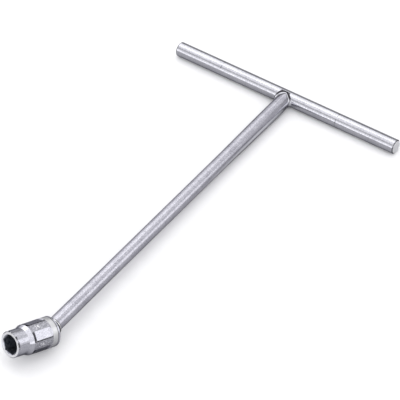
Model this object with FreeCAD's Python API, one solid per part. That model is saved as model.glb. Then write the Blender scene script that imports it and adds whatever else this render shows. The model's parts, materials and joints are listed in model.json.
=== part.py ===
"""A T-handle socket wrench with a swivel head: a round cross bar welded to a long round shaft, and a 14 mm
hexagon socket that swivels on a ball at the far end of the shaft.

It lies on a flat surface, on its cross bar and on the rim of its socket. The frame is in millimetres: +Z is
up, X runs along the cross bar, and the shaft runs from the cross bar towards -Y, a little uphill because the
socket is thicker than the bar. The origin is on the surface, under the middle of the wrench's box.

How the swivel works: the ball at the end of the shaft has a cross slot shaped like a bow tie. A pin lies in
the slot and ends in two holes in the socket's wall. The pin rocks in the slot, and the socket turns about the
pin, so the socket can lean any way while the pin carries the torque. A split band in a groove keeps the
pin in. A sprung cup rubs on the ball, so the socket stays where it is put.
"""

import FreeCAD, Part
import math
import os

# Cross bar
BAR_LENGTH = 200.0
BAR_RADIUS = 5.8
BAR_CHAMFER = 0.8

# Shaft, from the axis of the cross bar to the centre of the ball
REACH = 332.0
SHAFT_END_RADIUS = 5.75   # at the cross bar, a hair thinner than the bar so that the saddle closes
SHAFT_SWELL_RADIUS = 6.1  # the forged swelling next to the weld
SHAFT_RADIUS = 5.62       # the plain middle
SHAFT_FOOT_RADIUS = 5.85  # at the stud
SHAFT_END_TO = 7.0
SHAFT_SWELL_FROM = 17.0
SHAFT_SWELL_TO = 36.0
SHAFT_PLAIN_FROM = 90.0
SHAFT_PLAIN_TO = 255.0
SHAFT_FOOT_FROM = 300.0
WELD_RADIUS = 2.2

# Ball stud: ball, neck, flange and a spigot in the shaft
BALL_RADIUS = 8.7
NECK_RADIUS = 5.2
FLANGE_RADIUS = 7.2
FLANGE_FRONT = 7.5        # from the centre of the ball back towards the shaft
FLANGE_BACK = 9.3
FLANGE_ROUND = 0.5
SPIGOT_RADIUS = 3.6
SPIGOT_LENGTH = 16.0
STUD_WELD_LEG = 1.1

# Cross pin and its slot
PIN_RADIUS = 1.75
PIN_HALF_LENGTH = 10.7
PIN_CHAMFER = 0.3
PIN_CLEARANCE = 0.05
ROCK_LIMIT = 14.0         # degrees each way, pin in slot
SLOT_SPARE = 1.5          # degrees that the slot is cut past the limit

# Socket, measured along its own axis from the centre of the ball
HEX_ACROSS_FLATS = 14.1
HEX_DEPTH = 14.0
HEX_LEAD = 0.9            # radial size of the lead-in chamfer
HEX_BOTTOM_CONE = 2.2
DRILL_MARGIN = 0.6        # how much smaller the drill is than half the width across the flats
SOCKET_FACE = 36.4
NOSE_RADIUS = 10.4
NOSE_CHAMFER = 0.6
SHOULDER_FRONT = 25.6
SHOULDER_BACK = 22.0
BODY_RADIUS = 11.9
GROOVE_FRONT = 3.4
GROOVE_BACK = -1.7
RIM = -3.6
RIM_CHAMFER = 0.5
WALL_RADIUS = 10.9        # bottom of the groove for the band
CAVITY_RADIUS = 9.0
MOUTH_FLARE = 1.2
POCKET_RADIUS = 5.0
POCKET_END = 11.9
HEX_TURN = 5.0            # degrees about the socket's axis, from the pin to a corner of the hexagon

# Shallow flats milled on the socket's body, with a run-out at each end
FLATS = 5
FLATS_TURN = 22.5         # degrees about the socket's axis, from the pin to the middle of a flat
FLAT_DISTANCE = 11.24     # from the socket's axis
FLATS_FRONT = 21.8
FLATS_BACK = 3.8
RUN_OUT_RADIUS = 2.0

# Split spring band in the groove over the pin
BAND_GAP = 0.18
BAND_THICKNESS = 0.95
BAND_CHAMFER = 0.3
BAND_SPLIT = 1.5
SPLIT_TURN = -80.0        # degrees about the socket's axis, from the pin to the split

# Cup on the ball, and the two disc springs that press it there
CUP_RADIUS = 4.85
CUP_LENGTH = 3.2
CUP_GAP = 0.06
CUP_CROWN = 1.4           # from the top of the ball to the back of the cup
DISC_RADIUS = 4.7
DISC_BORE_RADIUS = 2.4
DISC_THICKNESS = 0.5
DISC_RISE = 0.4

# Stamped size figures on the socket
STROKE = 0.55
STROKE_DEPTH = 0.22
FIGURE_HEIGHT = 3.3
FIGURE_WIDTH = 1.9
FOUR_STEM = 1.33          # from the left of the 4 to its stem
FOUR_BAR = -0.25          # the height of its crossbar, from the middle
FIGURE_STEP = 1.3         # from the 1 to the left of the 4
FIGURES_FROM = 15.6       # along the socket's axis
FIGURE_LANDS = (1.5, 2.5)  # the two lands that carry the figures, counted in flats

# Pose at rest: which way the socket leans, as seen from above and from the side
REST_YAW = -16.8
REST_PITCH = 12.7

X = FreeCAD.Vector(1, 0, 0)
Y = FreeCAD.Vector(0, 1, 0)
Z = FreeCAD.Vector(0, 0, 1)
ORIGIN = FreeCAD.Vector(0, 0, 0)


def turned(points):
    """A solid of revolution about Z, from a closed outline of (radius, height) points."""
    corners = [FreeCAD.Vector(r, 0, h) for r, h in points]
    outline = Part.makePolygon(corners + corners[:1])
    return Part.Face(outline).revolve(ORIGIN, Z, 360)


def frame_from(x_axis, z_axis, origin):
    """The placement whose local X and Z axes are those given."""
    y_axis = z_axis.cross(x_axis)
    columns = (x_axis, y_axis, z_axis, origin)
    rows = [[getattr(c, k) for c in columns] for k in "xyz"]
    return FreeCAD.Placement(FreeCAD.Matrix(*rows[0], *rows[1], *rows[2], 0, 0, 0, 1))


def hexagon(across_flats, turn, low, high):
    """A hexagonal prism about Z with a corner turned from X by the given angle."""
    corner = across_flats / 2 / math.cos(math.radians(30))
    angles = [math.radians(turn + 60 * k) for k in range(7)]
    corners = [FreeCAD.Vector(corner * math.cos(a), corner * math.sin(a), low) for a in angles]
    return Part.Face(Part.makePolygon(corners)).extrude(Z * (high - low))


# ---- Where things are at rest ----

def rest_direction():
    """The way the socket points."""
    yaw, pitch = math.radians(REST_YAW), math.radians(REST_PITCH)
    return FreeCAD.Vector(
        math.sin(yaw) * math.cos(pitch), -math.cos(yaw) * math.cos(pitch), math.sin(pitch)
    )


def ball_height():
    """The height of the ball's centre that puts the rim of the socket on the surface."""
    pitch = math.radians(REST_PITCH)
    return BODY_RADIUS * math.cos(pitch) - (RIM + RIM_CHAMFER) * math.sin(pitch)


def shaft_direction():
    """The way the shaft points, from the cross bar to the ball."""
    rise = math.asin((ball_height() - BAR_RADIUS) / REACH)
    return FreeCAD.Vector(0, -math.cos(rise), math.sin(rise))


def footprint_shift():
    """How far the cross bar's axis stands from the middle of the wrench's box, along Y."""
    nose = rest_direction() * SOCKET_FACE + shaft_direction() * REACH
    chamfered = NOSE_RADIUS - NOSE_CHAMFER
    back = rest_direction() * NOSE_CHAMFER
    sideways = math.sqrt(1 - rest_direction().y ** 2)
    reach = min(nose.y - chamfered * sideways, nose.y - back.y - NOSE_RADIUS * sideways)
    return -(reach + BAR_RADIUS) / 2


def placements():
    """Placements of the bar, the shaft, the socket and the slot in the ball."""
    junction = FreeCAD.Vector(0, footprint_shift(), BAR_RADIUS)
    along = shaft_direction()
    ball = junction + along * REACH
    socket_axis = rest_direction()
    pin_axis = along.cross(socket_axis).normalize()
    return {
        "bar": frame_from(Y, X, junction),
        "shaft": frame_from(X, along, junction),
        "socket": frame_from(pin_axis, socket_axis, ball),
        "stud": frame_from(pin_axis, along, ball),
    }


def rest_tilt():
    """Degrees between the shaft and the socket at rest."""
    return math.degrees(shaft_direction().getAngle(rest_direction()))


# ---- Handle ----

def bar_solid():
    """The cross bar along Z, with chamfered ends."""
    half = BAR_LENGTH / 2
    inner = BAR_RADIUS - BAR_CHAMFER
    return turned([
        (0, -half), (inner, -half), (BAR_RADIUS, -half + BAR_CHAMFER),
        (BAR_RADIUS, half - BAR_CHAMFER), (inner, half), (0, half),
    ])


def shaft_blank():
    """The shaft along Z before its end is shaped to the bar, with its swelling and its hole for the stud."""
    foot = REACH - FLANGE_BACK
    hole = foot - SPIGOT_LENGTH
    return turned([
        (0, 0), (SHAFT_END_RADIUS, 0), (SHAFT_END_RADIUS, SHAFT_END_TO),
        (SHAFT_SWELL_RADIUS, SHAFT_SWELL_FROM), (SHAFT_SWELL_RADIUS, SHAFT_SWELL_TO),
        (SHAFT_RADIUS, SHAFT_PLAIN_FROM), (SHAFT_RADIUS, SHAFT_PLAIN_TO),
        (SHAFT_FOOT_RADIUS, SHAFT_FOOT_FROM), (SHAFT_FOOT_RADIUS, foot),
        (SPIGOT_RADIUS, foot), (SPIGOT_RADIUS, hole), (0, hole),
    ])


def handle():
    """The bar, the shaft shaped to it, and the weld that fills the corner between them."""
    at = placements()
    to_shaft = at["shaft"].inverse()
    bar = bar_solid()
    bar.Placement = to_shaft.multiply(at["bar"])
    shaft = shaft_blank().cut(bar)

    reach = 4 * BAR_RADIUS
    stub = Part.makeCylinder(SHAFT_END_RADIUS, reach)
    short_bar = Part.makeCylinder(BAR_RADIUS, 2 * reach, X * -reach, X)
    joined = short_bar.fuse(stub).removeSplitter()
    seam = [e for e in joined.Edges if 0.1 < e.BoundBox.ZMin and e.BoundBox.ZMax < BAR_RADIUS]
    filled = joined.makeFillet(WELD_RADIUS, seam)
    weld = filled.cut([short_bar, bar, shaft])

    bar, shaft, weld = (s.copy() for s in (bar, shaft, weld))
    for shape in (bar, shaft, weld):
        shape.Placement = at["shaft"].multiply(shape.Placement)
    return bar, shaft, weld


# ---- Ball stud ----

def ball_stud():
    """Ball, neck, flange and spigot. Locally +Z points from the shaft to the socket, with the ball at 0."""
    ball = Part.makeSphere(BALL_RADIUS)
    neck = Part.makeCylinder(NECK_RADIUS, FLANGE_FRONT, Z * -FLANGE_FRONT)
    flange = turned([
        (0, -FLANGE_BACK), (FLANGE_RADIUS - FLANGE_ROUND, -FLANGE_BACK),
        (FLANGE_RADIUS, -FLANGE_BACK + FLANGE_ROUND), (FLANGE_RADIUS, -FLANGE_FRONT - FLANGE_ROUND),
        (FLANGE_RADIUS - FLANGE_ROUND, -FLANGE_FRONT), (0, -FLANGE_FRONT),
    ])
    spigot = Part.makeCylinder(SPIGOT_RADIUS, SPIGOT_LENGTH, Z * -(FLANGE_BACK + SPIGOT_LENGTH))
    stud = ball.fuse([neck, flange, spigot]).removeSplitter()
    stud = stud.cut(bow_tie_slot())
    stud.Placement = placements()["stud"]
    return stud


def bow_tie_slot():
    """The slot through the ball along X, as wide as the pin. It fans out in XZ so that the pin can rock."""
    half_width = PIN_RADIUS + PIN_CLEARANCE
    fan = math.radians(ROCK_LIMIT + SLOT_SPARE)
    far = BALL_RADIUS + 3
    waist = half_width / math.cos(fan)
    mouth = waist + far * math.tan(fan)
    bow_tie = [
        (-far, -mouth), (0, -waist), (far, -mouth), (far, mouth), (0, waist), (-far, mouth), (-far, -mouth),
    ]
    outline = Part.makePolygon([FreeCAD.Vector(x, -half_width, z) for x, z in bow_tie])
    return Part.Face(outline).extrude(Y * (2 * half_width))


def stud_weld():
    """The small weld in the corner between the flange and the shaft."""
    corner = SHAFT_FOOT_RADIUS
    leg = STUD_WELD_LEG
    root = FreeCAD.Vector(corner, 0, -FLANGE_BACK)
    toe = root + X * leg
    top = root - Z * leg
    middle = root + (X - Z) * (leg * (1 - math.sqrt(0.5)))
    outline = Part.Wire([
        Part.LineSegment(root, toe).toShape(),
        Part.Arc(toe, middle, top).toShape(),
        Part.LineSegment(top, root).toShape(),
    ])
    weld = Part.Face(outline).revolve(ORIGIN, Z, 360)
    weld.Placement = placements()["stud"]
    return weld


# ---- Socket ----

def socket_blank():
    """The socket's outside: nose, shoulder, body, the groove for the band and the rim."""
    return turned([
        (0, RIM), (BODY_RADIUS - RIM_CHAMFER, RIM), (BODY_RADIUS, RIM + RIM_CHAMFER),
        (BODY_RADIUS, GROOVE_BACK), (WALL_RADIUS, GROOVE_BACK), (WALL_RADIUS, GROOVE_FRONT),
        (BODY_RADIUS, GROOVE_FRONT), (BODY_RADIUS, SHOULDER_BACK), (NOSE_RADIUS, SHOULDER_FRONT),
        (NOSE_RADIUS, SOCKET_FACE - NOSE_CHAMFER), (NOSE_RADIUS - NOSE_CHAMFER, SOCKET_FACE),
        (0, SOCKET_FACE),
    ])


def flats_cutters():
    """What is milled off the body for its flats: a block with a round end for the run-out at each end."""
    depth = BODY_RADIUS - FLAT_DISTANCE
    run_out = math.sqrt(2 * RUN_OUT_RADIUS * depth - depth ** 2)
    low, high = FLATS_BACK + run_out, FLATS_FRONT - run_out
    width = 2 * BODY_RADIUS
    cutters = []
    for k in range(FLATS):
        corner = FreeCAD.Vector(FLAT_DISTANCE, -BODY_RADIUS, low)
        block = Part.makeBox(2 * RUN_OUT_RADIUS, width, high - low, corner)
        ends = [
            Part.makeCylinder(
                RUN_OUT_RADIUS, width, FreeCAD.Vector(FLAT_DISTANCE + RUN_OUT_RADIUS, -BODY_RADIUS, z), Y
            )
            for z in (low, high)
        ]
        cutter = block.fuse(ends)
        cutter.rotate(ORIGIN, Z, FLATS_TURN + 360 / FLATS * k)
        cutters.append(cutter)
    return cutters


def nut_recess():
    """The hexagonal hole for the nut, with its lead-in and its drilled bottom."""
    bottom = SOCKET_FACE - HEX_DEPTH
    corner = HEX_ACROSS_FLATS / 2 / math.cos(math.radians(30))
    prism = hexagon(HEX_ACROSS_FLATS, HEX_TURN, bottom, SOCKET_FACE + 1)
    past = 0.25
    lead = Part.makeCone(corner - HEX_LEAD, corner + past, HEX_LEAD + past, Z * (SOCKET_FACE - HEX_LEAD))
    drill_radius = HEX_ACROSS_FLATS / 2 - DRILL_MARGIN
    drill = Part.makeCone(0, drill_radius, HEX_BOTTOM_CONE, Z * (bottom - HEX_BOTTOM_CONE))
    return prism.fuse([lead, drill])


def joint_cavity():
    """The round cavity for the ball, and the pocket for the cup and its springs."""
    mouth = Part.makeCylinder(CAVITY_RADIUS, -RIM + 1, Z * (RIM - 1))
    seat = Part.makeSphere(CAVITY_RADIUS)
    pocket = Part.makeCylinder(POCKET_RADIUS, POCKET_END)
    entry = Part.makeCone(CAVITY_RADIUS + MOUTH_FLARE, CAVITY_RADIUS, MOUTH_FLARE, Z * RIM)
    return mouth.fuse([seat, pocket, entry])


def figure_strokes(turn, start):
    """The strokes of the size, 14, as small bars in the surface of the body. They read along the socket."""
    half_height = FIGURE_HEIGHT / 2
    one = [((0, -half_height), (0, half_height))]
    four = [
        ((FOUR_STEM, -half_height), (FOUR_STEM, half_height)),
        ((0, FOUR_BAR), (FIGURE_WIDTH, FOUR_BAR)),
        ((0, FOUR_BAR), (FOUR_STEM, half_height)),
    ]
    strokes = [(0.0, line) for line in one] + [(FIGURE_STEP, line) for line in four]
    tools = []
    for offset, ((u0, v0), (u1, v1)) in strokes:
        length = math.hypot(u1 - u0, v1 - v0)
        start_corner = FreeCAD.Vector(-STROKE / 2, -STROKE / 2, -STROKE_DEPTH)
        bar = Part.makeBox(length + STROKE, STROKE, 2, start_corner)
        bar.rotate(ORIGIN, Z, math.degrees(math.atan2(v1 - v0, u1 - u0)))
        bar.translate(FreeCAD.Vector(offset + u0, v0, 0))
        bar.Placement = frame_from(Z * -1, X, X * BODY_RADIUS + Z * start).multiply(bar.Placement)
        bar.rotate(ORIGIN, Z, turn)
        tools.append(bar)
    return tools


def socket_body():
    """The socket with everything cut into it."""
    holes = Part.makeCylinder(PIN_RADIUS + PIN_CLEARANCE, 2 * BODY_RADIUS, X * -BODY_RADIUS, X)
    body = socket_blank().cut(flats_cutters()).cut(nut_recess()).cut(joint_cavity()).cut(holes)
    for land in FIGURE_LANDS:
        body = body.cut(figure_strokes(FLATS_TURN + 360 / FLATS * land, FIGURES_FROM))
    body.Placement = placements()["socket"]
    return body


def pin_band():
    """The split band in its groove, which keeps the pin in."""
    inside, outside = WALL_RADIUS, WALL_RADIUS + BAND_THICKNESS
    low, high = GROOVE_BACK + BAND_GAP, GROOVE_FRONT - BAND_GAP
    band = turned([
        (inside, low), (outside - BAND_CHAMFER, low), (outside, low + BAND_CHAMFER),
        (outside, high - BAND_CHAMFER), (outside - BAND_CHAMFER, high), (inside, high),
    ])
    split = Part.makeBox(
        2 * BODY_RADIUS, BAND_SPLIT, high - low + 2, FreeCAD.Vector(0, -BAND_SPLIT / 2, low - 1)
    )
    split.rotate(ORIGIN, Z, SPLIT_TURN)
    band = band.cut(split)
    band.Placement = placements()["socket"]
    return band


def cross_pin():
    """The pin that joins the ball to the socket."""
    end = PIN_HALF_LENGTH
    pin = turned([
        (0, -end), (PIN_RADIUS - PIN_CHAMFER, -end), (PIN_RADIUS, -end + PIN_CHAMFER),
        (PIN_RADIUS, end - PIN_CHAMFER), (PIN_RADIUS - PIN_CHAMFER, end), (0, end),
    ])
    pin.Placement = placements()["socket"].multiply(FreeCAD.Placement(ORIGIN, FreeCAD.Rotation(Z, X)))
    return pin


def thrust_cup():
    """The cup that the disc springs press on the ball."""
    blank = Part.makeCylinder(CUP_RADIUS, CUP_LENGTH + 2, Z * (cup_base() - CUP_LENGTH - 2))
    cup = blank.cut(Part.makeSphere(BALL_RADIUS + CUP_GAP))
    cup.Placement = placements()["socket"]
    return cup


def cup_base():
    """Where the cup's flat back is, along the socket's axis."""
    return BALL_RADIUS + CUP_CROWN


def disc_springs():
    """The two disc springs between the cup and the end of the pocket, set rim to rim."""
    low = cup_base()
    middle = low + DISC_RISE + DISC_THICKNESS
    rear = turned([
        (DISC_BORE_RADIUS, low), (DISC_RADIUS, low + DISC_RISE),
        (DISC_RADIUS, middle), (DISC_BORE_RADIUS, low + DISC_THICKNESS),
    ])
    front = rear.mirror(Z * middle, Z)
    for disc in (rear, front):
        disc.Placement = placements()["socket"].multiply(disc.Placement)
    return rear, front


def report(shapes):
    """Prints what the record needs: the mount and joint places, in metres, and each solid's state."""
    at = placements()
    ball = at["socket"].Base
    face = at["socket"].multVec(Z * SOCKET_FACE)
    rock_axis = at["stud"].Rotation.multVec(Y)
    pin_axis = at["socket"].Rotation.multVec(X)
    for name, v in (("ball", ball), ("face", face), ("junction", at["shaft"].Base)):
        print(name, [round(c / 1000, 6) for c in v])
    directions = {"rock": rock_axis, "pin": pin_axis, "socket": rest_direction(), "shaft": shaft_direction()}
    for name, v in directions.items():
        print(name, [round(c, 8) for c in v])
    print("rest tilt", round(rest_tilt(), 4))
    for name, shape in shapes.items():
        box = shape.optimalBoundingBox()
        extent = (box.XMin, box.XMax, box.YMin, box.YMax, box.ZMin, box.ZMax)
        print(f"{name:18s} solids {len(shape.Solids)} valid {shape.isValid()} volume {shape.Volume:9.2f}")
        print("    box", [round(c, 2) for c in extent])


def main():
    bar, shaft, weld = handle()
    disc_rear, disc_front = disc_springs()
    shapes = {
        "cross_bar": bar,
        "shaft": shaft,
        "bar_weld": weld,
        "ball_stud": ball_stud(),
        "stud_weld": stud_weld(),
        "cross_pin": cross_pin(),
        "socket_body": socket_body(),
        "pin_band": pin_band(),
        "thrust_cup": thrust_cup(),
        "disc_spring_rear": disc_rear,
        "disc_spring_front": disc_front,
    }
    os.makedirs("parts", exist_ok=True)
    for name, shape in shapes.items():
        shape.exportStep(os.path.join("parts", name + ".step"))
    report(shapes)


main()
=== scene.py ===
import json
import math

import bpy
from mathutils import Matrix, Vector

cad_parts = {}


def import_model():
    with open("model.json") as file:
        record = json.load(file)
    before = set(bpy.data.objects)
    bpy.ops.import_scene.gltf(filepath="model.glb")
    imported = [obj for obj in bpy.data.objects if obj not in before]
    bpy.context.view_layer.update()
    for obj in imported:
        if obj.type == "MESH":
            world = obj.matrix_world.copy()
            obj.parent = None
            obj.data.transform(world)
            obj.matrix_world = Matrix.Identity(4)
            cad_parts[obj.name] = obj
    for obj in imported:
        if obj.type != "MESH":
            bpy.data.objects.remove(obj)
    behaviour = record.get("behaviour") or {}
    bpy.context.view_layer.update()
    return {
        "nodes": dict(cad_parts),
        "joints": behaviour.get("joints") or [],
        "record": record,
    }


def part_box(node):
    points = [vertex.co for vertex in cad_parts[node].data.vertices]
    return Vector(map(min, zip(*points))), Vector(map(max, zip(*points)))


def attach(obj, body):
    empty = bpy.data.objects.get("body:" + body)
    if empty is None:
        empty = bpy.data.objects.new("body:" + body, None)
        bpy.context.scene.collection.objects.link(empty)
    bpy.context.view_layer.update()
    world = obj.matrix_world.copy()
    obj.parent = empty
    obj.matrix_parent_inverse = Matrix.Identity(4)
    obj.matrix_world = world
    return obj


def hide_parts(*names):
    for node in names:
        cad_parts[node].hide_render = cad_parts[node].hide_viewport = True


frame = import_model()
nodes = frame["nodes"]
joints = {joint["name"]: joint for joint in frame["joints"]}
mounts = {mount["name"]: mount for mount in frame["record"]["mounts"]}

# The ball's centre, the socket's own directions, and the place where the bar and the shaft cross
BALL = Vector(joints["socket_turn"]["pos_m"])
PIN_AXIS = Vector(joints["socket_turn"]["axis"]).normalized()
SOCKET_AXIS = Vector(mounts["hex_socket"]["axis"]).normalized()
SIDE_AXIS = SOCKET_AXIS.cross(PIN_AXIS).normalized()
BAR_LOW, BAR_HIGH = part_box("cross_bar")
JUNCTION = (BAR_LOW + BAR_HIGH) / 2
BAR_RADIUS = (BAR_HIGH.z - BAR_LOW.z) / 2

# Frames for the finishes: an origin, and a turn that lays the piece's length along Z
TO_SHAFT = Matrix.Rotation(math.pi / 2, 3, "X")
BAR_FRAME = (JUNCTION, Matrix.Rotation(math.pi / 2, 3, "Y"))
SHAFT_FRAME = (JUNCTION, TO_SHAFT)
STUD_FRAME = (BALL, TO_SHAFT)
SOCKET_FRAME = (BALL, Matrix((PIN_AXIS, SIDE_AXIS, SOCKET_AXIS)))

# The socket's own sizes in metres, along its axis from the ball or across it
FACE = 0.0364
HOLE_MOUTH = 0.0362
HOLE_RADIUS = 0.0084           # a circle round the hexagon's corners
NOSE_CHAMFER_RADIUS = 0.0098   # where the nose's chamfer starts
NOSE_LINE = 0.00125            # how far behind the face the dark line round the nose reaches
FLATS = 5
FLATS_TURN = 22.5              # degrees from the pin to the middle of the first flat
FLAT_DISTANCE = 0.01124
FLAT_HALF_WIDTH = 0.00391
FLAT_END = 0.0193              # where a flat's front end starts, along the axis
SEAM_DISTANCE = 0.0108         # the seam lines lie outside it, the cavity inside
LAND_FRONT = 0.0219            # the milled part, a hair longer than its flats
LAND_BACK = 0.0036
LAND_INSIDE = 0.0115           # the lands lie outside it, the groove inside
LAND_RADIUS = 0.01183          # a hair under the lands
FLAT_SHADE_FROM = 0.0151            # the painted shade at the flats lies in front of this
FIGURE_FLOOR = 0.011675        # across the axis, the bottom of the stamped figures

# Where painted shade lies, from the ball towards the shaft: the stud's neck and the edge of its flange
NECK_SHADE_FROM = 0.0054
NECK_SHADE_TO = 0.0081

# The painted reflections on the shaft, a dark one and a bright one: degrees round it, and metres from the
# cross bar
DARK_REFLECTION_TURN = 47.0
BRIGHT_REFLECTION_TURN = 20.0
STREAKS_FULL_TO = 0.050
STREAKS_END = 0.170

# The marks on the bar, from its middle, and how far its dull chamfer reaches from its end
CLAMP_MARKS = (-0.059, 0.047)
BAR_CHAMFER_REACH = 0.0009

# The weld between the bar and the shaft
SHAFT_END_RADIUS = 0.00575
WELD_HALF_WIDTH = 0.00775
WELD_TOP = 0.005765
WELD_LEFT_POWER = 0.38         # how square the weld's outline is on its left
WELD_LEG = 0.0023
WELD_SINK = 0.00003
BEAD_TURN = 28.0               # degrees round the shaft from its right, about where the bead starts
BEAD_HEIGHT = 0.0017
SHAFT_LINE_TO = 0.20           # across the weld, from the shaft (0) to the bar (1)
BAR_LINE_FROM = 0.36
OUTLINE_LOW_RIGHT = 0.0042     # how far up the dark outline on the bar starts, from its middle
OUTLINE_LOW_LEFT = 0.0012
ROUND_STEPS = 120
PROFILE_STEPS = 14

HAIR = 0.0001                  # the soft edge of a mask

# Colours
BRIGHT_PLATE = (0.97, 0.97, 0.98, 1.0)
# a painted bright reflection on the shaft
REFLECTION_BRIGHT = (0.97, 0.97, 1.0, 1.0)
SAWN_STEEL = (0.96, 0.96, 0.97, 1.0)
DULL_PLATE = (0.10, 0.10, 0.11, 1.0)
# a painted dark reflection on the shaft, and its darkening near the cross bar
DARKENING_AND_DARK_REFLECTION = (0.10, 0.10, 0.115, 1.0)
# painted shade in the creases of the weld
CREVICE_SHADE = (0.06, 0.06, 0.065, 1.0)
# dark lines: painted shade on the bar round the weld, and the broken line round the nose
DARK_LINE = (0.05, 0.05, 0.055, 1.0)
# painted shade on the stud's neck
NECK_SHADE = (0.05, 0.05, 0.05, 1.0)
# painted shade in the flats' run-outs and along their seams
FLAT_EDGE_SHADE = (0.045, 0.045, 0.05, 1.0)

# Camera, by azimuth, elevation and roll in degrees, distance in metres and lens in millimetres
CAMERA_TARGET = Vector((0.009388, 0.044399, 0.0058))
CAMERA_AZIMUTH = 31.78
CAMERA_ELEVATION = 42.331
CAMERA_ROLL = 2.224
CAMERA_DISTANCE = 5.7516
CAMERA_LENS = 678.49

FLOOR_HALF_SIZE = 3.0
FLOOR_LEVEL = -0.00002         # so that no face of the wrench lies in it
LAMP_SIDE = Vector((0.74, 0.536, 0.40)).normalized()


# ---------------------------------------------------------------- node helpers

class Graph:
    """A short way to write a node tree."""

    def __init__(self, tree):
        self.tree = tree

    def add(self, kind, inputs=None, **settings):
        node = self.tree.nodes.new(kind)
        for key, value in settings.items():
            setattr(node, key, value)
        for key, value in (inputs or {}).items():
            self.put(node.inputs[key], value)
        return node

    def put(self, socket, value):
        if isinstance(value, bpy.types.NodeSocket):
            self.tree.links.new(value, socket)
        else:
            socket.default_value = value

    def math(self, operation, a, b=0.5, clamp=False):
        return self.add("ShaderNodeMath", {0: a, 1: b}, operation=operation, use_clamp=clamp).outputs[0]

    def times(self, a, b):
        return self.math("MULTIPLY", a, b)

    def plus(self, a, b, clamp=False):
        return self.math("ADD", a, b, clamp)

    def minus(self, a, b, clamp=False):
        return self.math("SUBTRACT", a, b, clamp)

    def off(self, value, middle):
        """How far a value is from the middle, either way."""
        return self.math("ABSOLUTE", self.minus(value, middle))

    def highest(self, values):
        top = values[0]
        for value in values[1:]:
            top = self.math("MAXIMUM", top, value)
        return top

    def remap(self, value, low, high, to_low, to_high):
        return self.add("ShaderNodeMapRange", {
            "Value": value, "From Min": low, "From Max": high, "To Min": to_low, "To Max": to_high,
        }).outputs["Result"]

    def rising(self, value, low, high, top=1.0):
        return self.remap(value, low, high, 0.0, top)

    def falling(self, value, low, high):
        return self.remap(value, low, high, 1.0, 0.0)

    def ramp(self, value, stops):
        node = self.add("ShaderNodeValToRGB", {"Fac": value})
        elements = node.color_ramp.elements
        while len(elements) < len(stops):
            elements.new(0.5)
        for element, (place, color) in zip(elements, stops):
            element.position = place
            element.color = (*color, 1.0)
        return node.outputs["Color"]

    def placed(self, origin, turn):
        """Coordinates, in metres, in a frame with the given origin, turned by the given matrix."""
        coord = self.add("ShaderNodeTexCoord").outputs["Object"]
        mapping = self.add("ShaderNodeMapping", {"Vector": coord}, vector_type="POINT")
        mapping.inputs["Rotation"].default_value = turn.to_euler("XYZ")
        mapping.inputs["Location"].default_value = -(turn @ origin)
        return mapping.outputs["Vector"]

    def scaled(self, vector, scale):
        node = self.add("ShaderNodeMapping", {"Vector": vector, "Scale": scale}, vector_type="POINT")
        return node.outputs["Vector"]

    def split(self, vector):
        parts = self.add("ShaderNodeSeparateXYZ", {"Vector": vector})
        return parts.outputs["X"], parts.outputs["Y"], parts.outputs["Z"]

    def mix(self, factor, first, second):
        return self.add("ShaderNodeMix", {0: factor, 6: first, 7: second}, data_type="RGBA").outputs[2]

    def noise(self, vector, scale, detail=4.0, roughness=0.55):
        return self.add("ShaderNodeTexNoise", {
            "Vector": vector, "Scale": scale, "Detail": detail, "Roughness": roughness,
        }).outputs["Fac"]


def new_graph(owner):
    """An empty node tree in a new material or world."""
    owner.use_nodes = True
    owner.node_tree.nodes.clear()
    return Graph(owner.node_tree)


# ---------------------------------------------------------------- finishes

def metal(name, place, light, dark, roughness, grain, grain_depth, cloud=120.0, edge=(0.22, 0.22, 0.24, 1.0)):
    """A bare or plated metal, drawn or turned about the Z of its frame.

    light and dark are the colours that the clouding moves between, and roughness is its range likewise.
    grain stretches the fine marks by axis, grain_depth is their height in metres, cloud is the scale of
    the clouding, and edge is the tint near grazing angles.
    """
    material = bpy.data.materials.new(name)
    g = new_graph(material)
    out = g.add("ShaderNodeOutputMaterial")
    at = g.placed(*place)
    clouds = g.noise(at, cloud, 5.0, 0.62)
    specks = g.noise(at, cloud * 9.0, 3.0, 0.6)
    marks = g.noise(g.scaled(at, grain), 1.0, 3.0, 0.65)
    spots = g.add("ShaderNodeTexVoronoi", {"Vector": at, "Scale": 900.0}, feature="F1").outputs["Distance"]
    spot_places = g.noise(at, cloud * 2.4, 2.0, 0.5)
    pit = g.times(g.falling(spots, 0.10, 0.22), g.rising(spot_places, 0.56, 0.66))
    tone = g.plus(g.times(clouds, 0.35), g.times(specks, 0.65))
    tone = g.minus(g.rising(tone, 0.38, 0.62), g.times(pit, 0.25), clamp=True)
    rough = g.remap(g.plus(g.times(clouds, 0.65), g.times(marks, 0.35)), 0.35, 0.65, *roughness)
    height = g.minus(marks, g.times(pit, 1.6))
    bump = g.add("ShaderNodeBump", {"Height": height, "Strength": 1.0, "Distance": grain_depth})
    shader = g.add("ShaderNodeBsdfPrincipled", {
        "Base Color": g.ramp(tone, [(0.0, dark), (1.0, light)]),
        "Metallic": 1.0,
        "Roughness": g.plus(rough, g.times(pit, 0.25), clamp=True),
        "Normal": bump.outputs["Normal"],
    })
    shader.inputs["Specular Tint"].default_value = edge
    g.put(out.inputs["Surface"], shader.outputs[0])
    return material


class Finish(Graph):
    """The node tree of a finished metal, with the colour and roughness that reach its shader."""

    def __init__(self, material):
        super().__init__(material.node_tree)
        self.shader = next(node for node in self.tree.nodes if node.type == "BSDF_PRINCIPLED")

    def reaching(self, name):
        return self.shader.inputs[name].links[0].from_socket

    def paint(self, factor, color):
        self.put(self.shader.inputs["Base Color"], self.mix(factor, self.reaching("Base Color"), color))

    def roughen(self, factor, amount):
        rough = self.plus(self.reaching("Roughness"), self.times(factor, amount), clamp=True)
        self.put(self.shader.inputs["Roughness"], rough)


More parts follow.
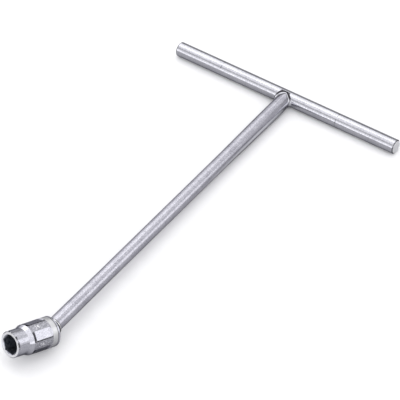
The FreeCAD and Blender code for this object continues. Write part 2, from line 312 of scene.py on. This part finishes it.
def flat_lines(g, x, y):
    """How far the nearest flat's direction reaches, and the line along one edge of each flat."""
    reaches = []
    seams = []
    for k in range(FLATS):
        turn = math.radians(FLATS_TURN + 360.0 / FLATS * k)
        across = g.plus(g.times(x, math.cos(turn)), g.times(y, math.sin(turn)))
        along = g.minus(g.times(y, math.cos(turn)), g.times(x, math.sin(turn)))
        line = g.falling(g.off(along, HAIR - FLAT_HALF_WIDTH), 0.00034, 0.00058)
        seams.append(g.times(line, g.rising(across, SEAM_DISTANCE - HAIR, SEAM_DISTANCE + HAIR)))
        reaches.append(across)
    return g.highest(reaches), g.highest(seams)


def socket_finish():
    """The socket: bright plate on the nose, shoulder and flats, duller lands, and a dark hexagon."""
    material = metal("socket_chrome", SOCKET_FRAME, (0.66, 0.66, 0.71), (0.46, 0.46, 0.51), (0.08, 0.20),
                     (120.0, 120.0, 1600.0), 0.0000025, cloud=160.0)
    g = Finish(material)
    at = g.placed(*SOCKET_FRAME)
    x, y, z = g.split(at)
    radius = g.math("SQRT", g.plus(g.times(x, x), g.times(y, y)))
    reach, seams = flat_lines(g, x, y)

    milled = g.times(g.falling(z, LAND_FRONT, LAND_FRONT + HAIR), g.rising(z, LAND_BACK - HAIR, LAND_BACK))
    lands = g.times(milled, g.falling(reach, FLAT_DISTANCE - 0.00004, FLAT_DISTANCE - 0.00001))
    skin = g.times(lands, g.rising(radius, LAND_INSIDE - HAIR, LAND_INSIDE + HAIR))
    figures = g.times(lands, g.falling(g.off(radius, FIGURE_FLOOR), 0.000075, 0.000125))
    blotches = g.ramp(g.noise(at, 1100.0, 4.0, 0.75), [
        (0.36, (0.22, 0.22, 0.255)), (0.56, (0.52, 0.52, 0.56)), (0.66, (0.90, 0.90, 0.94)),
    ])
    g.paint(skin, blotches)
    g.paint(figures, BRIGHT_PLATE)
    g.roughen(skin, 0.16)

    # painted shade in the run-out at the front of each flat and along its seam
    run_out = g.times(g.rising(reach, FLAT_DISTANCE + 0.00003, FLAT_DISTANCE + 0.00007),
                      g.falling(radius, LAND_RADIUS, LAND_RADIUS + 0.00003))
    flat_end = g.times(g.rising(reach, FLAT_DISTANCE - 0.00001, FLAT_DISTANCE),
                       g.rising(z, FLAT_END, FLAT_END + 3 * HAIR))
    run_out = g.times(g.highest([run_out, flat_end]), g.rising(z, FLAT_SHADE_FROM - HAIR, FLAT_SHADE_FROM + HAIR))
    flat_shade = g.times(milled, g.highest([run_out, seams]))
    g.paint(g.times(flat_shade, g.remap(g.noise(at, 600.0, 3.0), 0.36, 0.5, 0.70, 1.0)), FLAT_EDGE_SHADE)

    # the inside of the hexagon painted dark
    hole = g.times(g.falling(radius, HOLE_RADIUS, HOLE_RADIUS + HAIR),
                   g.falling(z, HOLE_MOUTH - 0.0006, HOLE_MOUTH))
    hex_hole_dark = g.ramp(g.noise(at, 500.0, 4.0), [(0.35, (0.09, 0.10, 0.125)), (0.65, (0.30, 0.32, 0.36))])
    g.paint(hole, hex_hole_dark)

    face = g.rising(z, FACE - HAIR, FACE - 0.00003)
    front = g.ramp(g.noise(at, 700.0, 4.0), [(0.35, (0.80, 0.80, 0.82)), (0.65, (0.95, 0.95, 0.96))])
    g.paint(face, front)
    g.roughen(face, 0.40)
    g.roughen(hole, 0.35)

    # a broken dark line round the nose, on its chamfer and just behind it
    line = g.times(g.rising(z, FACE - NOSE_LINE - HAIR / 2, FACE - NOSE_LINE + HAIR / 2),
                   g.rising(radius, NOSE_CHAMFER_RADIUS - HAIR / 2, NOSE_CHAMFER_RADIUS + HAIR / 2))
    g.paint(g.times(line, g.remap(g.noise(at, 330.0, 3.0), 0.44, 0.52, 0.05, 0.92)), DARK_LINE)
    return material


def shade_stud_neck(material):
    """Painted shade, broken up, on the neck of the stud and round the front of its flange."""
    g = Finish(material)
    at = g.placed(*STUD_FRAME)
    back = g.split(at)[2]
    neck = g.times(g.rising(back, NECK_SHADE_FROM - 4 * HAIR, NECK_SHADE_FROM + 4 * HAIR),
                   g.falling(back, NECK_SHADE_TO - HAIR, NECK_SHADE_TO + HAIR))
    g.paint(g.times(neck, g.remap(g.noise(at, 380.0, 3.0), 0.38, 0.52, 0.7, 0.97)), NECK_SHADE)


def paint_shaft_reflections(material):
    """Near the cross bar, a painted dark reflection along the right of the shaft with a painted bright
    reflection below it.

    The shaft is also painted a little darker all round there. These are painted here and not made by the
    light.
    """
    g = Finish(material)
    x, y, z = g.split(g.placed(*SHAFT_FRAME))
    turn = g.math("ARCTAN2", g.times(y, -1.0), x)
    near = g.rising(z, -STREAKS_END, -STREAKS_FULL_TO)
    dark_reflection = g.falling(g.off(turn, math.radians(DARK_REFLECTION_TURN)), 0.09, 0.27)
    bright_reflection = g.falling(g.off(turn, math.radians(BRIGHT_REFLECTION_TURN)), 0.10, 0.26)
    # darker all round near the cross bar, with a painted dark reflection on the right of the shaft
    g.paint(g.times(near, g.plus(0.10, g.times(dark_reflection, 0.55))), DARKENING_AND_DARK_REFLECTION)
    # a painted bright reflection below the dark one
    g.paint(g.times(near, g.times(bright_reflection, 0.75)), REFLECTION_BRIGHT)


def mark_bar(material):
    """Two faint marks round the bar, where it was held, its dull chamfers and its sawn ends."""
    g = Finish(material)
    at = g.placed(*BAR_FRAME)
    along = g.split(at)[2]
    marks = g.highest([g.falling(g.off(along, -x), 0.00020, 0.00045) for x in CLAMP_MARKS])
    g.paint(g.times(marks, g.rising(g.noise(at, 450.0, 3.0), 0.47, 0.58, 0.75)), DULL_PLATE)
    from_middle = g.math("ABSOLUTE", along)
    chamfer_from = BAR_HIGH.x - BAR_CHAMFER_REACH
    g.paint(g.rising(from_middle, chamfer_from - HAIR / 2, chamfer_from + HAIR / 2, 0.75), DULL_PLATE)
    end = g.rising(from_middle, BAR_HIGH.x - HAIR, BAR_HIGH.x - HAIR / 2)
    g.paint(end, SAWN_STEEL)
    g.roughen(end, 0.40)


def outline_weld(material):
    """Painted shade: a dark line on the bar in the crease just outside the raised part of the weld's bead."""
    g = Finish(material)
    x, y, z = g.split(g.placed(JUNCTION, Matrix.Identity(3)))
    left = g.math("LESS_THAN", x, 0.0)
    # past the bar's top, its radius counts as the height
    behind = g.times(g.math("GREATER_THAN", y, 0.0), BAR_RADIUS)
    rise = g.math("POWER", g.math("DIVIDE", g.highest([z, behind]), WELD_TOP), 2.0)
    across = g.math("DIVIDE", g.math("ABSOLUTE", x), WELD_HALF_WIDTH)
    power = g.plus(2.0, g.times(left, 2.0 / WELD_LEFT_POWER - 2.0))
    reach = g.plus(rise, g.math("POWER", across, power))    # 1 on the weld's outline
    line = g.times(g.rising(reach, 0.97, 1.0), g.falling(reach, 1.10, 1.16))
    line = g.times(line, g.falling(y, 0.0001, 0.0003))
    lowest = g.minus(OUTLINE_LOW_RIGHT, g.times(left, OUTLINE_LOW_RIGHT - OUTLINE_LOW_LEFT))
    line = g.times(line, g.math("GREATER_THAN", z, lowest))
    # painted shade in the crease round the weld
    g.paint(g.times(line, 0.93), DARK_LINE)


def bead_finish():
    """Plated weld, with painted shade in the creases where the bead meets the bar and the shaft."""
    material = metal("bead_chrome", SHAFT_FRAME, (0.68, 0.68, 0.72), (0.50, 0.50, 0.54), (0.07, 0.16),
                     (900.0, 900.0, 900.0), 0.000005)
    g = Finish(material)
    crease_shade = g.add("ShaderNodeAttribute", attribute_name="crease_shade").outputs["Fac"]
    # painted shade where the bead meets the bar and the shaft
    g.paint(crease_shade, CREVICE_SHADE)
    return material


def dress(node, material):
    """Gives a CAD node its material."""
    slots = nodes[node].material_slots
    for slot in slots:
        slot.material = material
    if not slots:
        nodes[node].data.materials.append(material)


def dress_nodes():
    drawn = (1500.0, 1500.0, 60.0)
    even = (900.0, 900.0, 900.0)
    bar = metal("bar_chrome", BAR_FRAME, (0.62, 0.62, 0.655), (0.44, 0.44, 0.48), (0.06, 0.14),
                drawn, 0.0000022, edge=(0.45, 0.45, 0.47, 1.0))
    shaft = metal("shaft_chrome", SHAFT_FRAME, (0.63, 0.625, 0.68), (0.42, 0.415, 0.465), (0.10, 0.22),
                  drawn, 0.0000025, edge=(0.42, 0.42, 0.44, 1.0))
    weld = metal("weld_chrome", SHAFT_FRAME, (0.62, 0.62, 0.66), (0.44, 0.44, 0.48), (0.08, 0.18),
                 even, 0.000006)
    satin = metal("satin_band", SOCKET_FRAME, (0.76, 0.76, 0.765), (0.64, 0.64, 0.65), (0.28, 0.40),
                  (160.0, 160.0, 2400.0), 0.000004, cloud=200.0)
    machined = metal("machined_steel", STUD_FRAME, (0.86, 0.86, 0.86), (0.66, 0.66, 0.665), (0.12, 0.26),
                     (120.0, 120.0, 1800.0), 0.000004)
    hardened = metal("hardened_steel", SOCKET_FRAME, (0.42, 0.41, 0.40), (0.24, 0.24, 0.25), (0.24, 0.4),
                     (300.0, 300.0, 2200.0), 0.000004)
    spring = metal("spring_steel", SOCKET_FRAME, (0.18, 0.19, 0.25), (0.08, 0.085, 0.12), (0.25, 0.4),
                   (300.0, 300.0, 300.0), 0.000004)
    # the stud's weld painted near black: painted shade in the crease between the flange and the shaft
    stud_weld_shade = metal("weld_painted_shade", STUD_FRAME, (0.13, 0.13, 0.14), (0.05, 0.05, 0.06), (0.20, 0.35),
                      even, 0.000006)
    mark_bar(bar)
    outline_weld(bar)
    # painted shade on the stud's neck and flange
    shade_stud_neck(machined)
    # painted reflections on the shaft near the cross bar
    paint_shaft_reflections(shaft)
    finishes = {
        "cross_bar": bar,
        "shaft": shaft,
        "bar_weld": weld,
        "ball_stud": machined,
        "stud_weld": stud_weld_shade,
        "cross_pin": hardened,
        "socket_body": socket_finish(),
        "pin_band": satin,
        "thrust_cup": hardened,
        "disc_spring_rear": spring,
        "disc_spring_front": spring,
    }
    for node, material in finishes.items():
        dress(node, material)


# ---------------------------------------------------------------- weld between the bar and the shaft

def clamped(value):
    return min(max(value, 0.0), 1.0)


def on_bar(x, z):
    """The point of the bar's front at this place, a hair under its skin."""
    radius = BAR_RADIUS - WELD_SINK
    return Vector((x, -math.sqrt(max(radius * radius - z * z, 0.0)), z))


def bead_at(turn):
    """How much of a raised bead there is: all of it over the top and left, none below and on the right."""
    share = clamped((math.sin(turn - math.radians(BEAD_TURN)) + 0.25) / 0.75)
    return share * share * (3 - 2 * share)


def weld_ring(turn):
    """The weld's section at one place round the shaft, and how much painted shade lies in its crevices, point
    by point.
    """
    across, rise = math.cos(turn), math.sin(turn)
    bead = bead_at(turn)
    power = WELD_LEFT_POWER if across < 0 else 1.0
    toe = on_bar(math.copysign(abs(across) ** power, across) * WELD_HALF_WIDTH, rise * WELD_TOP)
    skin = SHAFT_END_RADIUS - WELD_SINK
    corner = on_bar(skin * across, skin * rise)
    foot = corner + Vector((0.0, -WELD_LEG, 0.0))
    outward = Vector((across, -0.15, rise)).normalized()
    crown = corner.lerp((toe + foot) / 2, 0.25 + 0.75 * bead)
    crown = crown + outward * (BEAD_HEIGHT * bead) + Vector((0.0, -0.0004 * bead, 0.0))
    ring = []
    crease_shade = []
    for k in range(PROFILE_STEPS + 1):
        t = k / PROFILE_STEPS
        ring.append(foot * (1 - t) ** 2 + crown * (2 * t * (1 - t)) + toe * t ** 2)
        at_bar = clamped((t - BAR_LINE_FROM) / 0.06)
        at_shaft = 0.8 * clamped((SHAFT_LINE_TO - t) / 0.05)
        crease_shade.append(bead * max(at_bar, at_shaft))
    inner = 0.90
    ring.append(Vector((corner.x * inner, corner.y + 0.0006, corner.z * inner)))
    crease_shade.append(0.0)
    return ring, crease_shade


def saddle_weld():
    """A ground weld: a smooth fillet low down and on the right, and a raised bead over the top and left."""
    low = -BAR_RADIUS + 0.00005    # a hair above the floor
    points = []
    crease_shade = []
    for i in range(ROUND_STEPS):
        ring, dark = weld_ring(2 * math.pi * i / ROUND_STEPS)
        points += [Vector((p.x, p.y, max(p.z, low))) + JUNCTION for p in ring]
        crease_shade += dark
    size = PROFILE_STEPS + 2
    faces = []
    for i in range(ROUND_STEPS):
        j = (i + 1) % ROUND_STEPS
        for k in range(size):
            m = (k + 1) % size
            faces.append((i * size + k, i * size + m, j * size + m, j * size + k))
    mesh = bpy.data.meshes.new("saddle_weld")
    mesh.from_pydata(points, [], faces)
    mesh.shade_smooth()
    # the painted shade of the weld's creases goes on the mesh, point by point
    mesh.attributes.new("crease_shade", "FLOAT", "POINT").data.foreach_set("value", crease_shade)
    mesh.materials.append(bead_finish())
    weld = bpy.data.objects.new("saddle_weld", mesh)
    bpy.context.scene.collection.objects.link(weld)
    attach(weld, "handle")
    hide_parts("bar_weld")


# ---------------------------------------------------------------- floor, light and camera

def floor():
    """A pale floor, darker to glossy rays, so that the undersides of the metal reflect a duller table."""
    size = FLOOR_HALF_SIZE
    corners = [(x, y, FLOOR_LEVEL) for x, y in ((-size, -size), (size, -size), (size, size), (-size, size))]
    mesh = bpy.data.meshes.new("floor")
    mesh.from_pydata(corners, [], [(0, 1, 2, 3)])
    ground = bpy.data.objects.new("floor", mesh)
    bpy.context.scene.collection.objects.link(ground)
    material = bpy.data.materials.new("floor")
    g = new_graph(material)
    coord = g.add("ShaderNodeTexCoord").outputs["Object"]
    pale = g.ramp(g.noise(coord, 60.0, 5.0), [(0.3, (0.89, 0.89, 0.89)), (0.7, (0.92, 0.92, 0.92))])
    glossy = g.add("ShaderNodeLightPath").outputs["Is Glossy Ray"]
    color = g.mix(glossy, pale, (0.50, 0.50, 0.51, 1.0))
    shader = g.add("ShaderNodeBsdfPrincipled", {"Base Color": color, "Roughness": 0.9})
    shader.inputs["Specular IOR Level"].default_value = 0.1
    g.put(g.add("ShaderNodeOutputMaterial").inputs["Surface"], shader.outputs[0])
    mesh.materials.append(material)


def world():
    """A bright tent by direction: dimmer at the back and on its right, with two dim panels, a bright low
    band in front and the glow of a lamp."""
    sky = bpy.data.worlds.new("tent")
    bpy.context.scene.world = sky
    g = new_graph(sky)
    direction = g.add("ShaderNodeTexCoord").outputs["Generated"]
    side, depth, height = g.split(direction)
    tent = g.ramp(g.rising(height, -0.2, 1.0), [
        (0.0, (0.34, 0.34, 0.36)), (0.15, (0.40, 0.40, 0.42)), (0.22, (1.26, 1.26, 1.28)),
        (0.7, (1.30, 1.30, 1.33)), (1.0, (1.40, 1.40, 1.42)),
    ])
    right = g.times(g.rising(side, 0.10, 0.35), g.rising(depth, -0.1, 0.25))
    front_panel = g.times(g.falling(g.off(height, 0.67), 0.07, 0.17), g.falling(depth, -0.2, 0.0))
    front_panel = g.times(front_panel, g.falling(side, -0.15, 0.10))
    back = g.rising(depth, 0.2, 0.55)
    back_panel = g.times(g.falling(g.off(side, -0.39), 0.10, 0.24), g.rising(depth, 0.25, 0.85))
    brightness = 1.0
    for shade, amount in ((right, 0.14), (front_panel, 0.42), (back, 0.20), (back_panel, 0.55)):
        brightness = g.times(g.minus(1.0, g.times(shade, amount)), brightness)
    lamp = g.add("ShaderNodeVectorMath", {0: direction, 1: LAMP_SIDE}, operation="DOT_PRODUCT")
    brightness = g.plus(brightness, g.rising(lamp.outputs["Value"], 0.955, 0.985, 0.45))
    low_band = g.times(g.rising(height, 0.0, 0.03), g.falling(height, 0.26, 0.36))
    low_band = g.times(low_band, g.falling(depth, -0.4, -0.2))
    brightness = g.plus(brightness, g.times(low_band, 0.42))
    shaded = g.add("ShaderNodeVectorMath", {0: tent, "Scale": brightness}, operation="SCALE")
    background = g.add("ShaderNodeBackground", {"Color": shaded.outputs[0]})
    g.put(g.add("ShaderNodeOutputWorld").inputs["Surface"], background.outputs[0])


def softbox(name, place, aim, width, height, power):
    data = bpy.data.lights.new(name, "AREA")
    data.shape = "RECTANGLE"
    data.size = width
    data.size_y = height
    data.energy = power
    light = bpy.data.objects.new(name, data)
    bpy.context.scene.collection.objects.link(light)
    light.location = place
    light.rotation_euler = (Vector(aim) - Vector(place)).to_track_quat("-Z", "Y").to_euler()


def camera():
    azimuth, elevation, roll = (math.radians(v) for v in (CAMERA_AZIMUTH, CAMERA_ELEVATION, CAMERA_ROLL))
    back = Vector((
        math.sin(azimuth) * math.cos(elevation),
        -math.cos(azimuth) * math.cos(elevation),
        math.sin(elevation),
    ))
    right = Vector((0, 0, 1)).cross(back).normalized()
    up = back.cross(right)
    x_axis = right * math.cos(roll) + up * math.sin(roll)
    y_axis = up * math.cos(roll) - right * math.sin(roll)
    data = bpy.data.cameras.new("camera")
    data.lens = CAMERA_LENS
    data.sensor_width = 36.0
    data.clip_start = 0.05
    data.clip_end = 100.0
    view = bpy.data.objects.new("camera", data)
    bpy.context.scene.collection.objects.link(view)
    turn = Matrix((x_axis, y_axis, back)).transposed().to_4x4()
    view.matrix_world = Matrix.Translation(CAMERA_TARGET + back * CAMERA_DISTANCE) @ turn
    bpy.context.scene.camera = view


dress_nodes()
saddle_weld()
floor()
world()
softbox("key", (-0.9, 0.9, 1.5), (0.0, 0.0, 0.0), 1.5, 1.5, 5.5)
camera()
bpy.context.scene.view_settings.view_transform = "Standard"
